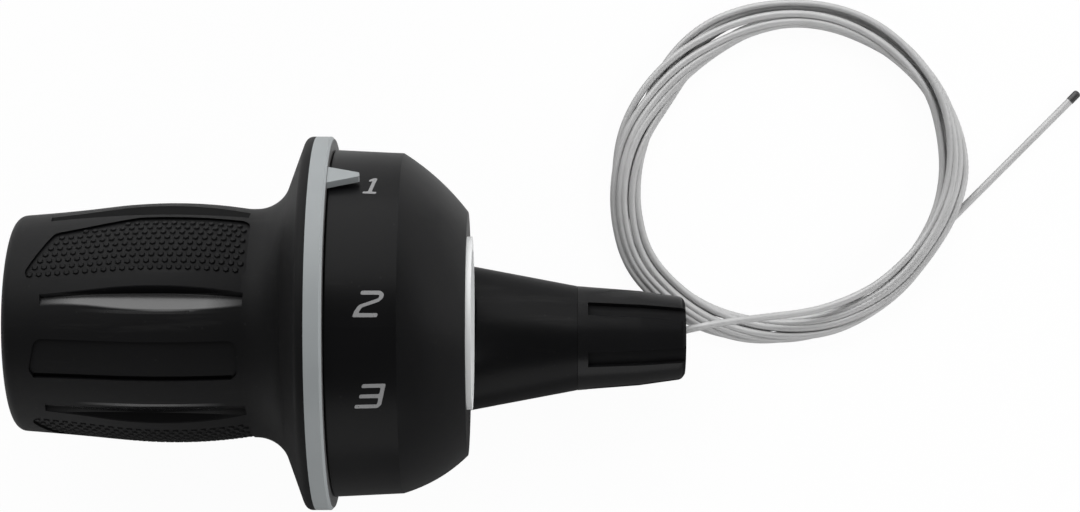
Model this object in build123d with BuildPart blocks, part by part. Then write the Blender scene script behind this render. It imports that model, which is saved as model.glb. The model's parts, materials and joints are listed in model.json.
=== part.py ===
"""Twist grip shifter for a 22.2 mm handlebar, with its coiled inner cable.

X runs along the handlebar, from the grip's outer end towards the stem. Z is up, and the shifter lies on a
table as it does beside its cable. The origin is on the bar's axis, where the pointer ring meets the housing.
Turns are degrees about +X, counted from the top in the direction in which the grip winds the cable in.
"""

import math
import os

from build123d import *

# Handlebar seat, in millimetres
bar_diameter = 22.2
bar_clearance = 0.1
sleeve_wall = 1.4
collar_wall = 3.8
spigot_wall = 1.9
spigot_reach = 0.8
running_gap = 0.1
slip_gap = 0.05

# Grip and its rubber
grip_length = 45.2
end_lip = 0.8
core_wall = 2.5
end_rubber = 1.0
belly_rubber = 3.0
belly_curve = 73.0
belly_from_end = 24.0
shoulder_from_end = 14.8
waist_from_ring = 5.6
rim_from_ring = 1.25
end_round = 1.6
waist_round = 5.5
rim_round = 1.1
rim_rubber = 2.0
disc_thickness = 1.6

# Finger grooves and panels of the rubber
layout_count = 2
groove_aside = 33.2
edge_groove_aside = 90.0
groove_length = 29.6
groove_shift = 1.5
groove_bow = 0.5
groove_steep = 0.9
groove_gentle = 3.5
groove_depth = 1.35
groove_end_depth = 0.7
groove_overcut = 2.0
pad_aside = 60.1
pad_panel_length = 33.3
pad_width = 11.3
pad_slant = 4.6
pad_drop = 2.6
pad_shoulder = 17.0
plain_turn = 17.0
plain_panel_length = 30.8
plain_width = 6.0
plain_slant = 1.3
panel_depth = 0.4
panel_corner = 1.4
slot_width = 0.65
slot_depth = 0.9
slot_margin = 0.8
features_from_ring = 26.0

# Pointer ring
ring_width = 2.6
ring_depth = 6.7
ring_bevel = 0.4
pointer_turn = -53
pointer_length = 4.7
pointer_width = 4.8
pointer_tip = 0.9
pointer_height = 1.05
pointer_gap = 0.35
peg_radius = 1.0
peg_length = 1.3
peg_count = 3
peg_from_rim = 4.2

# Winding spool and detents
hub_wall = 1.3
lug_count = 3
lug_width = 4.0
lug_height = 0.8
lug_turn = 90
spool_wall = 2.0
spool_start = 1.6
drum_width = 5.6
drum_step = 3.3
rim_width = 1.5
detent_steps = (0, 45, 76)
detent_turn = -90
notch_radius = 1.3
notch_lift = 0.3
notch_gap = 0.15
spring_room = 3.6
spring_thickness = 0.5
spring_lift = 0.35
spring_width = 4.0
seat_rib = 1.4
seat_root = 1.0
seat_gap = 0.15

# Cable
cable_diameter = 1.2
cable_gap = 0.2
wrap_angle = 45
head_diameter = 4.0
head_length = 4.0
bend_radius = 6.0
free_run = 5.0
guide_bore = 1.5
guide_wall = 0.85
guide_trim = 0.2
cable_inside = 45.0
cable_lean = 49.0

# Housing
housing_wall = 2.6
flange_overhang = 2.0
parting_gap = 0.15
barrel_length = 10.35
barrel_taper = 0.5
housing_length = 19.85
end_wall = 2.2
cone_wall = 2.2
cone_bulge = 0.8
end_margin_top = 1.1
end_margin_side = 5.6
end_shift = 1.75
heel_step = 0.9
cavity_step = 0.5
boss_inset = 1.1
rib_clearance = 1.2
mouth_round = 0.2

# Cable port and adjuster
port_turn = 171.8
neck_length = 16.85
neck_root = 4.0
neck_root_half_width = 12.2
neck_half_depth = 8.1
neck_end_radius = 8.25
thread_radius = 4.95
thread_gap = 0.1
port_floor = 2.0
adjuster_gap = 0.05
adjuster_length = 17.0
adjuster_shank = 14.0
adjuster_mid_radius = 7.5
adjuster_end_radius = 6.5
adjuster_mid = 9.8
adjuster_round = 1.2
flute_count = 6
flute_width = 2.5
flute_depth = 0.8
flute_start = 1.6
flute_turn = 53.5
socket_radius = 3.0
socket_depth = 10.9
adjuster_bore = 1.0
o_ring_section = 0.94
o_ring_setback = 3.9

# Bar clamp
clamp_turn = 120
screw_radius = 1.95
screw_length = 8.5
socket_across = 2.0
key_depth = 2.2
insert_wall = 0.75
insert_length = 5.0
boss_half_width = 4.0
pad_length = 2.0
washer_thickness = 0.5
washer_margin = 2.8
clip_thickness = 0.8
clip_height = 2.1
clip_gap = 6.0
clip_land = 0.7

# Free cable on the table
coil_centre = (71.1, 23.35)
coil_mean_radius = 25.35
coil_width = 5.7
coil_height = 2.2
coil_round = 0.9
lead_points = [(57.3, -0.75, -19.9), (66.5, 0.4, -22.3), (74.5, 1.2, -25.2), (81.0, 3.4, -26.6)]
lead_points += [(86.0, 6.2, -26.8)]
tail_start = (87.8, 6.6)
tail_end = (116.3, 35.1)
tip_length = 2.0
tip_diameter = 1.3

# Radii, each worked out from the bar outwards
cable_radius = cable_diameter / 2
bore_radius = bar_diameter / 2 + bar_clearance
sleeve_radius = bore_radius + sleeve_wall
collar_radius = bore_radius + collar_wall
spigot_radius = bore_radius + spigot_wall
core_bore = sleeve_radius + running_gap
core_radius = core_bore + core_wall
hub_radius = core_bore + hub_wall
spool_bore = hub_radius + slip_gap
groove_floor = spool_bore + spool_wall
wrap_radius = groove_floor + slip_gap + cable_radius
rim_radius = wrap_radius + cable_radius
drum_radius = wrap_radius + drum_step
cavity_radius = drum_radius + spring_room
housing_radius = cavity_radius + housing_wall
flange_radius = housing_radius + flange_overhang
disc_radius = flange_radius - rim_rubber
clip_radius = sleeve_radius - clip_land + clip_height + slip_gap
clip_bay = clip_radius + cable_gap

# Stations along the bar
ring_start = -ring_width
grip_end = ring_start - grip_length
core_end = grip_end + end_lip
disc_start = ring_start - disc_thickness
clip_start = core_end + clip_land + running_gap
clip_end = clip_start + clip_thickness
core_shoulder = clip_end + cable_gap
drum_end = spool_start + drum_width
wrap_station = drum_end + cable_gap + cable_radius
groove_end = wrap_station + cable_radius + running_gap
spool_end = groove_end + rim_width
washer_start = spool_end + running_gap
collar_start = washer_start + washer_thickness + running_gap
barrel_end = parting_gap + barrel_length
housing_end = parting_gap + housing_length
wall_face = housing_end - end_wall
sleeve_end = housing_end + spigot_reach
clamp_station = (collar_start + wall_face) / 2
neck_end = housing_end + neck_length
adjuster_start = neck_end + adjuster_gap
adjuster_end = adjuster_start + adjuster_length
bore_start = housing_end + port_floor
features_middle = ring_start - features_from_ring
table = -flange_radius


def station(x, turn=0):
    """A plane across the bar at x, with its own x axis pointing outwards at this turn."""
    angle = math.radians(turn)
    return Plane(origin=(x, 0, 0), x_dir=(0, -math.sin(angle), math.cos(angle)), z_dir=(1, 0, 0))


def outward(x, turn, radius=0.0):
    """A plane that faces outwards at this turn, with its own x axis along the bar."""
    angle = math.radians(turn)
    out = (0, -math.sin(angle), math.cos(angle))
    return Plane(origin=(x, radius * out[1], radius * out[2]), x_dir=(1, 0, 0), z_dir=out)


def place(x, radius, turn):
    """The point at this station, radius and turn."""
    angle = math.radians(turn)
    return Vector(x, -radius * math.sin(angle), radius * math.cos(angle))


# The cable leaves the spool on a tangent and bends through a right angle into the port's axis
port_radius = math.hypot(wrap_radius, free_run + bend_radius)
release_turn = port_turn + math.degrees(math.atan2(free_run + bend_radius, wrap_radius))
head_turn = release_turn + wrap_angle
port_centre = place(0, port_radius, port_turn)
release_point = place(wrap_station, wrap_radius, release_turn)
bend_corner = Vector(wrap_station, port_centre.Y, port_centre.Z)


def along(turn):
    """A plane through the bar's axis and this turn: its own x is along the bar and its y outwards."""
    angle = math.radians(turn)
    return Plane(origin=(0, 0, 0), x_dir=(1, 0, 0), z_dir=(0, -math.cos(angle), -math.sin(angle)))


def at_port(x):
    """A plane across the port's axis at x, with its own x axis along Y."""
    return Plane(origin=(x, port_centre.Y, port_centre.Z), x_dir=(0, 1, 0), z_dir=(1, 0, 0))


# Rubber sleeve of the grip, with its flared rim
end_radius = core_radius + end_rubber
belly_radius = core_radius + belly_rubber
belly_station = grip_end + belly_from_end
shoulder_station = grip_end + shoulder_from_end
waist_station = ring_start - waist_from_ring
rim_station = ring_start - rim_from_ring


def skin_radius(x):
    """The radius of the rubber's skin at x: a wide arc over the belly, and a taper from it to the end."""
    on_belly = max(x, shoulder_station)
    belly_drop = belly_curve - math.sqrt(belly_curve**2 - (on_belly - belly_station) ** 2)
    taper_share = (on_belly - x) / shoulder_from_end
    return belly_radius - belly_drop + taper_share * (end_radius - belly_radius + belly_drop)


def rubber_profile(inset):
    """The rubber's outline in the grip's barrel from its waist to its end, moved inwards by inset."""
    belly_points = [(x, skin_radius(x) - inset) for x in (waist_station, belly_station, shoulder_station)]
    belly = ThreePointArc(*belly_points)
    taper = TangentArc(belly @ 1, (grip_end, end_radius - inset), tangent=belly % 1)
    return belly @ 0, taper @ 1


def barrel_skin(depth):
    """A shell around the barrel that reaches this far into the rubber."""
    with BuildPart() as skin:
        with BuildSketch(Plane.XZ):
            with BuildLine():
                waist, end = rubber_profile(depth)
                Polyline(end, (grip_end, flange_radius), (waist_station, flange_radius), waist)
            make_face()
        revolve(axis=Axis.X)
    return skin.part


def panel_cutter(turn, corners, corner_round, depth):
    """A shallow recess with these corners that follows the rubber's belly."""
    with BuildPart() as cutter:
        with BuildSketch(outward(features_middle, turn)) as outline:
            with BuildLine():
                Polyline(*corners, close=True)
            make_face()
            fillet(outline.vertices(), corner_round)
        extrude(amount=flange_radius)
        add(barrel_skin(depth), mode=Mode.INTERSECT)
    return cutter.part


def pad_corners(side):
    """The corners of a knurled pad, whose long edge lies on this side of it, towards the plain panel."""
    half_length = pad_panel_length / 2
    half_width = pad_width / 2
    return [
        (-half_length, -side * half_width),
        (half_length, -side * half_width),
        (half_length, side * half_width),
        (-half_length + pad_shoulder, side * half_width),
        (-half_length + pad_slant, side * (half_width - pad_drop)),
    ]


plain_half = plain_panel_length / 2
slot_half = plain_half - slot_margin
slot_top = slot_width - plain_width / 2
plain_corners = [
    (-plain_half, -plain_width / 2),
    (plain_half, -plain_width / 2),
    (plain_half, plain_width / 2),
    (-plain_half + plain_slant, plain_width / 2),
]
slot_corners = [
    (-slot_half, -plain_width / 2),
    (slot_half, -plain_width / 2),
    (slot_half, slot_top),
    (-slot_half, slot_top),
]


def groove_cutter(turn, side):
    """A finger groove, deepest in its middle, where it also bows away from its gentle flank."""
    middle = features_middle + groove_shift
    start = middle - groove_length / 2
    end = middle + groove_length / 2
    with BuildPart() as cutter:
        with BuildLine(along(turn)) as path:
            ThreePointArc(
                (start, skin_radius(start) - groove_end_depth, side * groove_bow),
                (middle, skin_radius(middle) - groove_depth, 0),
                (end, skin_radius(end) - groove_end_depth, side * groove_bow),
            )
        across = along(turn).z_dir * -1
        with BuildSketch(Plane(origin=path.line @ 0, x_dir=across, z_dir=path.line % 0)):
            with BuildLine():
                Polyline(
                    (0, 0),
                    (side * groove_overcut * groove_steep, groove_overcut * groove_depth),
                    (-side * groove_overcut * groove_gentle, groove_overcut * groove_depth),
                    close=True,
                )
            make_face()
        sweep()
    return cutter.part


def ring_edge(part, x, radius):
    """The round edge of the part nearest to this station and radius."""
    rings = part.edges().filter_by(GeomType.CIRCLE)
    return rings.sort_by(lambda edge: abs(edge.arc_center.X - x) + abs(edge.radius - radius))[0]


with BuildPart() as grip_rubber:
    with BuildSketch(Plane.XZ):
        with BuildLine():
            waist, end = rubber_profile(0)
            Polyline(
                waist,
                (rim_station, flange_radius),
                (ring_start, flange_radius),
                (ring_start, disc_radius),
                (disc_start, disc_radius),
                (disc_start, core_radius),
                (core_end, core_radius),
                (core_end, clip_bay),
                (grip_end, clip_bay),
                end,
            )
        make_face()
    revolve(axis=Axis.X)
    fillet(ring_edge(grip_rubber, grip_end, end_radius), end_round)
    fillet(ring_edge(grip_rubber, waist_station, skin_radius(waist_station)), waist_round)
    fillet(ring_edge(grip_rubber, rim_station, flange_radius), rim_round)
    for copy in range(layout_count):
        middle_turn = plain_turn + copy * 360 / layout_count
        add(groove_cutter(middle_turn - edge_groove_aside, 1), mode=Mode.SUBTRACT)
        for side in (1, -1):
            pad = panel_cutter(middle_turn - side * pad_aside, pad_corners(side), panel_corner, panel_depth)
            add(pad, mode=Mode.SUBTRACT)
            add(groove_cutter(middle_turn - side * groove_aside, side), mode=Mode.SUBTRACT)
        add(panel_cutter(middle_turn, plain_corners, panel_corner, panel_depth), mode=Mode.SUBTRACT)
        add(panel_cutter(middle_turn, slot_corners, slot_width / 4, slot_depth), mode=Mode.SUBTRACT)

# Stiff barrel inside the rubber, with the disc that carries the pointer ring and the hub for the spool
peg_circle = flange_radius - peg_from_rim

with BuildPart() as grip_core:
    with BuildSketch(Plane.XZ):
        with BuildLine():
            Polyline(
                (core_end, clip_bay),
                (core_end, core_radius),
                (disc_start, core_radius),
                (disc_start, disc_radius),
                (ring_start, disc_radius),
                (ring_start, hub_radius),
                (spool_end, hub_radius),
                (spool_end, core_bore),
                (core_shoulder, core_bore),
                (core_shoulder, clip_bay),
                close=True,
            )
        make_face()
    revolve(axis=Axis.X)
    with BuildSketch(station(ring_start, lug_turn)):
        with PolarLocations(hub_radius, lug_count):
            Rectangle(2 * lug_height, lug_width)
    extrude(amount=spool_end - ring_start)
    with BuildSketch(station(ring_start)):
        with PolarLocations(peg_circle, peg_count):
            Circle(peg_radius + slip_gap)
    extrude(amount=-disc_thickness, mode=Mode.SUBTRACT)

# Pointer that floats over the housing
pointer_floor = housing_radius + pointer_gap

with BuildPart() as pointer:
    with BuildSketch(outward(0, pointer_turn)) as outline:
        with BuildLine():
            Polyline(
                (-ring_width / 2, pointer_width / 2),
                (pointer_length, pointer_tip / 2),
                (pointer_length, -pointer_tip / 2),
                (-ring_width / 2, -pointer_width / 2),
                close=True,
            )
        make_face()
        fillet(outline.vertices().group_by(Axis.X)[-1], pointer_tip / 3)
    extrude(amount=flange_radius)
    with BuildSketch(station(-ring_width / 2)):
        Circle(pointer_floor + pointer_height)
        Circle(pointer_floor, mode=Mode.SUBTRACT)
    extrude(amount=ring_width + pointer_length, mode=Mode.INTERSECT)

with BuildPart() as indicator_ring:
    with BuildSketch(station(ring_start)):
        Circle(flange_radius)
        Circle(flange_radius - ring_depth, mode=Mode.SUBTRACT)
    extrude(amount=ring_width)
    chamfer(ring_edge(indicator_ring, 0, flange_radius), ring_bevel)
    add(pointer.part)
    with BuildSketch(station(ring_start)):
        with PolarLocations(peg_circle, peg_count):
            Circle(peg_radius)
    extrude(amount=-peg_length)

# Spool that winds the cable, with the notched detent drum beside its groove
head_radius = head_diameter / 2
head_plane = Plane(
    origin=place(wrap_station, wrap_radius, head_turn),
    x_dir=(1, 0, 0),
    z_dir=(0, -math.cos(math.radians(head_turn)), -math.sin(math.radians(head_turn))),
)

with BuildPart() as cable_spool:
    with BuildSketch(Plane.XZ):
        with BuildLine():
            Polyline(
                (spool_start, spool_bore),
                (spool_start, drum_radius),
                (drum_end, drum_radius),
                (drum_end, groove_floor),
                (groove_end, groove_floor),
                (groove_end, rim_radius),
                (spool_end, rim_radius),
                (spool_end, spool_bore),
                close=True,
            )
        make_face()
    revolve(axis=Axis.X)
    with BuildSketch(station(spool_start, lug_turn)):
        with PolarLocations(hub_radius, lug_count):
            Rectangle(2 * (lug_height + slip_gap), lug_width + 2 * slip_gap)
    extrude(amount=spool_end - spool_start, mode=Mode.SUBTRACT)
    for step in detent_steps:
        with BuildSketch(station(spool_start, detent_turn - step)):
            with Locations((drum_radius + notch_lift, 0)):
                Circle(notch_radius)
        extrude(amount=drum_width, mode=Mode.SUBTRACT)
    with BuildSketch(head_plane):
        Circle(head_radius + slip_gap)
    extrude(amount=head_length + slip_gap, mode=Mode.SUBTRACT)

# Leaf spring that clicks into the drum's notches
spring_start = spool_start + (drum_width - spring_width) / 2
spring_face = drum_radius + spring_lift
spring_back = spring_face + spring_thickness
spring_half = math.sqrt((cavity_radius - seat_gap) ** 2 - spring_back**2)

with BuildPart() as detent_spring:
    with BuildSketch(station(spring_start, detent_turn)):
        with Locations((drum_radius + notch_lift, 0)):
            Circle(notch_radius - notch_gap)
        with Locations((spring_back, 0)):
            Rectangle(
                2 * spring_back, 2 * notch_radius, align=(Align.MIN, Align.CENTER), mode=Mode.SUBTRACT
            )
        with Locations((spring_face, 0)):
            Rectangle(spring_thickness, 2 * spring_half, align=(Align.MIN, Align.CENTER))
    extrude(amount=spring_width)

# Housing: a barrel, a cone skewed towards the cable port, and the port's neck
barrel_end_radius = housing_radius - barrel_taper
end_top = spigot_radius + end_margin_top
end_bottom = port_centre.Z - neck_half_depth + heel_step
end_half_height = (end_top - end_bottom) / 2
end_half_width = spigot_radius + end_margin_side
end_middle = (end_top + end_bottom) / 2


def cone_oval(x, inset, bulge):
    """Middle height, sideways shift, half height and half width of the cone at x."""
    share = (x - barrel_end) / (housing_end - barrel_end)
    half_height = barrel_end_radius + share * (end_half_height - barrel_end_radius) + bulge - inset
    half_width = barrel_end_radius + share * (end_half_width - barrel_end_radius) + bulge - inset
    return share * end_middle, share * end_shift, half_height, half_width


cone_middle = (barrel_end + housing_end) / 2
middle_height, middle_shift, middle_half_height, middle_half_width = cone_oval(cone_middle, 0, cone_bulge)
inner_height, inner_shift, inner_half_height, inner_half_width = cone_oval(wall_face, cone_wall, 0)
guide_radius = guide_bore / 2 + guide_wall
insert_radius = screw_radius + running_gap + insert_wall
insert_floor = collar_radius + cable_gap
insert_top = insert_floor + insert_length
boss_start = collar_start + running_gap
boss_top = cavity_radius - boss_inset
rib_floor = math.sqrt((drum_radius + rib_clearance) ** 2 - (spring_half + seat_gap) ** 2)
rib_reach = math.sqrt((cavity_radius + seat_root) ** 2 - (spring_half + seat_gap + seat_rib) ** 2)

with BuildPart() as housing:
    with BuildSketch(Plane.XZ):
        with BuildLine():
            Polyline(
                (parting_gap, 0),
                (parting_gap, housing_radius),
                (barrel_end, barrel_end_radius),
                (barrel_end, 0),
                close=True,
            )
        make_face()
    revolve(axis=Axis.X)
    fillet(ring_edge(housing, parting_gap, housing_radius), mouth_round)
    with BuildSketch(station(barrel_end)):
        Circle(barrel_end_radius)
    with BuildSketch(station(cone_middle)):
        with Locations((middle_height, middle_shift)):
            Ellipse(middle_half_height, middle_half_width)
    with BuildSketch(station(housing_end)):
        with Locations((end_middle, end_shift)):
            Ellipse(end_half_height, end_half_width)
    loft()
    with BuildSketch(at_port(housing_end - neck_root)):
        Ellipse(neck_root_half_width, neck_half_depth)
    with BuildSketch(at_port(neck_end)):
        Circle(neck_end_radius)
    loft(ruled=True)
    with BuildSketch(station(parting_gap)):
        Circle(cavity_radius)
    extrude(amount=barrel_end - cavity_step - parting_gap, mode=Mode.SUBTRACT)
    with BuildSketch(station(barrel_end - cavity_step)):
        Circle(cavity_radius)
    with BuildSketch(station(wall_face)):
        with Locations((inner_height, inner_shift)):
            Ellipse(inner_half_height, inner_half_width)
    loft(ruled=True, mode=Mode.SUBTRACT)
    with BuildSketch(station(collar_start)):
        Circle(collar_radius + cable_gap)
    extrude(amount=wall_face - collar_start, mode=Mode.SUBTRACT)
    with BuildSketch(station(wall_face)):
        Circle(spigot_radius + slip_gap)
    extrude(amount=end_wall, mode=Mode.SUBTRACT)
    with BuildSketch(station(housing_end)):
        Circle(spigot_radius + pointer_gap)
    extrude(amount=spigot_reach + pointer_gap, mode=Mode.SUBTRACT)
    with BuildSketch(at_port(bore_start)):
        Circle(thread_radius + thread_gap)
    extrude(amount=neck_end - bore_start, mode=Mode.SUBTRACT)
    with BuildSketch(at_port(wall_face)):
        Circle(guide_radius + slip_gap)
    extrude(amount=bore_start - wall_face, mode=Mode.SUBTRACT)
    with BuildSketch(outward(clamp_station, clamp_turn, insert_floor)):
        with Locations(((boss_start + wall_face) / 2 - clamp_station, 0)):
            Rectangle(wall_face - boss_start, 2 * boss_half_width)
    extrude(amount=boss_top - insert_floor)
    with BuildSketch(outward(clamp_station, clamp_turn, insert_floor)):
        Circle(insert_radius + slip_gap)
    extrude(amount=insert_length, mode=Mode.SUBTRACT)
    with BuildSketch(outward(clamp_station, clamp_turn, insert_top)):
        Circle(screw_radius + running_gap)
    extrude(amount=housing_radius - insert_top, mode=Mode.SUBTRACT)
    with BuildSketch(station(spring_start, detent_turn)):
        for side in (-1, 1):
            with Locations((rib_floor, side * (spring_half + seat_gap + seat_rib / 2))):
                Rectangle(rib_reach - rib_floor, seat_rib, align=(Align.MIN, Align.CENTER))
    extrude(amount=spring_width)

# Sleeve that takes the bar and carries the grip, with a thick collar at the clamp
clip_groove = sleeve_radius - clip_land

with BuildPart() as bar_sleeve:
    with BuildSketch(Plane.XZ):
        with BuildLine():
            Polyline(
                (core_end, bore_radius),
                (core_end, sleeve_radius),
                (clip_start - running_gap, sleeve_radius),
                (clip_start - running_gap, clip_groove),
                (clip_end + running_gap, clip_groove),
                (clip_end + running_gap, sleeve_radius),
                (collar_start, sleeve_radius),
                (collar_start, collar_radius),
                (wall_face, collar_radius),
                (wall_face, spigot_radius),
                (sleeve_end, spigot_radius),
                (sleeve_end, bore_radius),
                close=True,
            )
        make_face()
    revolve(axis=Axis.X)
    with BuildSketch(outward(clamp_station, clamp_turn)):
        Circle(screw_radius + running_gap)
    extrude(amount=collar_radius + running_gap, mode=Mode.SUBTRACT)

with BuildPart() as retaining_clip:
    with BuildSketch(station(clip_start, 180)):
        Circle(clip_groove + slip_gap + clip_height)
        Circle(clip_groove + slip_gap, mode=Mode.SUBTRACT)
        Rectangle(2 * clip_radius, clip_gap, align=(Align.MIN, Align.CENTER), mode=Mode.SUBTRACT)
    extrude(amount=clip_thickness)

with BuildPart() as glide_washer:
    with BuildSketch(station(washer_start)):
        Circle(core_bore + washer_margin)
        Circle(core_bore, mode=Mode.SUBTRACT)
    extrude(amount=washer_thickness)

# Clamp: a grub screw in a brass insert pushes a pad through the sleeve onto the bar
pad_floor = bore_radius + cable_gap
screw_floor = pad_floor + pad_length + slip_gap

with BuildPart() as clamp_pad:
    with BuildSketch(outward(clamp_station, clamp_turn, pad_floor)):
        Circle(screw_radius)
    extrude(amount=pad_length)

with BuildPart() as clamp_screw:
    with BuildSketch(outward(clamp_station, clamp_turn, screw_floor)):
        Circle(screw_radius)
    extrude(amount=screw_length)
    with BuildSketch(outward(clamp_station, clamp_turn, screw_floor + screw_length)):
        RegularPolygon(socket_across / 2, 6, major_radius=False)
    extrude(amount=-key_depth, mode=Mode.SUBTRACT)

with BuildPart() as clamp_insert:
    with BuildSketch(outward(clamp_station, clamp_turn, insert_floor)):
        Circle(insert_radius)
        Circle(screw_radius + running_gap, mode=Mode.SUBTRACT)
    extrude(amount=insert_length)

# Barrel adjuster screwed into the neck
port_axis = Axis(port_centre, (1, 0, 0))
port_side = Plane(origin=port_centre, x_dir=(1, 0, 0), z_dir=(0, -1, 0))
shank_start = adjuster_start - adjuster_shank
o_ring_station = neck_end - o_ring_setback
o_ring_floor = thread_radius - o_ring_section
middle_station = adjuster_start + adjuster_mid
flute_slope = (neck_end_radius - adjuster_mid_radius) / adjuster_mid
flute_station = adjuster_start + flute_start

with BuildPart() as flutes:
    with BuildSketch(port_side):
        with BuildLine():
            Polyline(
                (flute_station, neck_end_radius - flute_start * flute_slope - flute_depth),
                (middle_station, adjuster_mid_radius - flute_depth),
                (adjuster_end, adjuster_end_radius - flute_depth),
                (adjuster_end, 2 * neck_end_radius),
                (flute_station, 2 * neck_end_radius),
                close=True,
            )
        make_face()
    revolve(axis=port_axis)
    with BuildSketch(at_port(flute_station)):
        with PolarLocations(neck_end_radius, flute_count, start_angle=flute_turn):
            Rectangle(neck_end_radius, flute_width)
    extrude(amount=adjuster_length, mode=Mode.INTERSECT)

with BuildPart() as barrel_adjuster:
    with BuildSketch(port_side):
        with BuildLine():
            Polyline(
                (shank_start, adjuster_bore),
                (shank_start, thread_radius),
                (o_ring_station - o_ring_section, thread_radius),
                (o_ring_station - o_ring_section, o_ring_floor),
                (o_ring_station + o_ring_section, o_ring_floor),
                (o_ring_station + o_ring_section, thread_radius),
                (adjuster_start, thread_radius),
                (adjuster_start, neck_end_radius),
                (middle_station, adjuster_mid_radius),
                (adjuster_end, adjuster_end_radius),
                (adjuster_end, socket_radius),
                (adjuster_end - socket_depth, socket_radius),
                (adjuster_end - socket_depth, adjuster_bore),
                close=True,
            )
        make_face()
    revolve(axis=port_axis)
    fillet(ring_edge(barrel_adjuster, adjuster_end, adjuster_end_radius), adjuster_round)
    add(flutes.part, mode=Mode.SUBTRACT)

with BuildPart() as adjuster_o_ring:
    with BuildSketch(port_side):
        with Locations((o_ring_station, o_ring_floor + slip_gap + o_ring_section / 2)):
            Circle(o_ring_section / 2)
    revolve(axis=port_axis)

# Cable inside the shifter: its head, the wrap on the spool, and the run through the guide to the port
with BuildPart() as cable_head:
    with BuildSketch(head_plane):
        Circle(head_radius)
    extrude(amount=head_length)

with BuildPart() as cable_wrap:
    with BuildLine(station(wrap_station)) as wrap_path:
        CenterArc((0, 0), wrap_radius, release_turn, wrap_angle)
    with BuildSketch(Plane(origin=wrap_path.line @ 0, z_dir=wrap_path.line % 0)):
        Circle(cable_radius)
    sweep()

inside_end = Vector(cable_inside, port_centre.Y, port_centre.Z)

with BuildPart() as cable_inner:
    with BuildLine() as inner_path:
        FilletPolyline(release_point, bend_corner, inside_end, radius=bend_radius)
    with BuildSketch(Plane(origin=inner_path.line @ 0, z_dir=inner_path.line % 0)):
        Circle(cable_radius)
    sweep()

guide_end = Vector(bore_start - guide_trim, port_centre.Y, port_centre.Z)
guide_station = spool_end + guide_trim

with BuildPart() as cable_guide:
    with BuildLine() as guide_path:
        FilletPolyline(release_point, bend_corner, guide_end, radius=bend_radius)
    with BuildSketch(Plane(origin=guide_path.line @ 0, z_dir=guide_path.line % 0)):
        Circle(guide_radius)
        Circle(guide_bore / 2, mode=Mode.SUBTRACT)
    sweep()
    split(bisect_by=Plane.YZ.offset(guide_station), keep=Keep.TOP)

# Free cable: a lead from the adjuster, the coil on the table, and the straight tail with its soldered tip
lean_point = Vector(cable_lean, port_centre.Y, port_centre.Z)
lead_route = [inside_end, lean_point] + [Vector(*point) for point in lead_points]


def arc_radii(route):
    """The largest even radius at each corner of a route."""
    radii = []
    for before, corner, after in zip(route, route[1:], route[2:]):
        turn = math.radians((corner - before).get_angle(after - corner))
        shorter = min((corner - before).length, (after - corner).length)
        radii.append(0.45 * shorter / math.tan(turn / 2))
    return radii


lead_radii = arc_radii(lead_route)
print("lead radii", [round(radius, 1) for radius in lead_radii])

with BuildPart() as cable_lead:
    with BuildLine() as lead_path:
        FilletPolyline(*lead_route, radius=lead_radii)
    with BuildSketch(Plane(origin=lead_path.line @ 0, z_dir=lead_path.line % 0)):
        Circle(cable_radius)
    sweep()

lead_length = sum(edge.length for edge in lead_path.edges())
section_area = math.pi * cable_radius**2
print("lead volume", round(cable_lead.part.volume, 2), "of", round(section_area * lead_length, 2))

coil_axis = Axis((*coil_centre, 0), (0, 0, 1))

with BuildPart() as cable_coil:
    with BuildSketch(Plane(origin=(*coil_centre, 0), x_dir=(1, 0, 0), z_dir=(0, -1, 0))) as hank:
        with Locations((coil_mean_radius, table + coil_height / 2)):
            Rectangle(coil_width, coil_height)
        fillet(hank.vertices(), coil_round)
    revolve(axis=coil_axis)

tail_height = table + tip_diameter / 2
tail_from = Vector(*tail_start, tail_height)
tail_to = Vector(*tail_end, tail_height)
tail_way = (tail_to - tail_from).normalized()

with BuildPart() as cable_tail:
    with BuildSketch(Plane(origin=tail_from, z_dir=tail_way)):
        Circle(cable_radius)
    extrude(amount=(tail_to - tail_from).length)

with BuildPart() as cable_tip:
    with BuildSketch(Plane(origin=tail_to, z_dir=tail_way)):
        Circle(tip_diameter / 2)
    extrude(amount=tip_length)
    fillet(cable_tip.faces().sort_by(Axis((0, 0, 0), tail_way))[-1].edges(), tip_diameter / 3)

pieces = {
    "grip_rubber": grip_rubber,
    "grip_core": grip_core,
    "indicator_ring": indicator_ring,
    "cable_spool": cable_spool,
    "detent_spring": detent_spring,
    "housing": housing,
    "bar_sleeve": bar_sleeve,
    "retaining_clip": retaining_clip,
    "glide_washer": glide_washer,
    "clamp_pad": clamp_pad,
    "clamp_screw": clamp_screw,
    "clamp_insert": clamp_insert,
    "barrel_adjuster": barrel_adjuster,
    "adjuster_o_ring": adjuster_o_ring,
    "cable_guide": cable_guide,
    "cable_head": cable_head,
    "cable_wrap": cable_wrap,
    "cable_inner": cable_inner,
    "cable_lead": cable_lead,
    "cable_coil": cable_coil,
    "cable_tail": cable_tail,
    "cable_tip": cable_tip,
}
os.makedirs("parts", exist_ok=True)
for name, builder in pieces.items():
    builder.part.label = name
    export_step(builder.part, f"parts/{name}.step")
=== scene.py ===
# %% [markdown]
# Twist grip shifter: the frame
#
# The solids of the shifter come ready made, in metres, from the imported part: the rubber grip, the
# pointer ring, the numbered housing, the barrel adjuster and the cable. Loading them first means that
# every piece made here can be placed by the same numbers as the solids, with no fitting by eye. The
# box around the solids is kept, and the table is later laid at its lowest point.

# %% Load the frame
import json
import math

import bmesh
import bpy
from mathutils import Matrix, Vector


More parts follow.
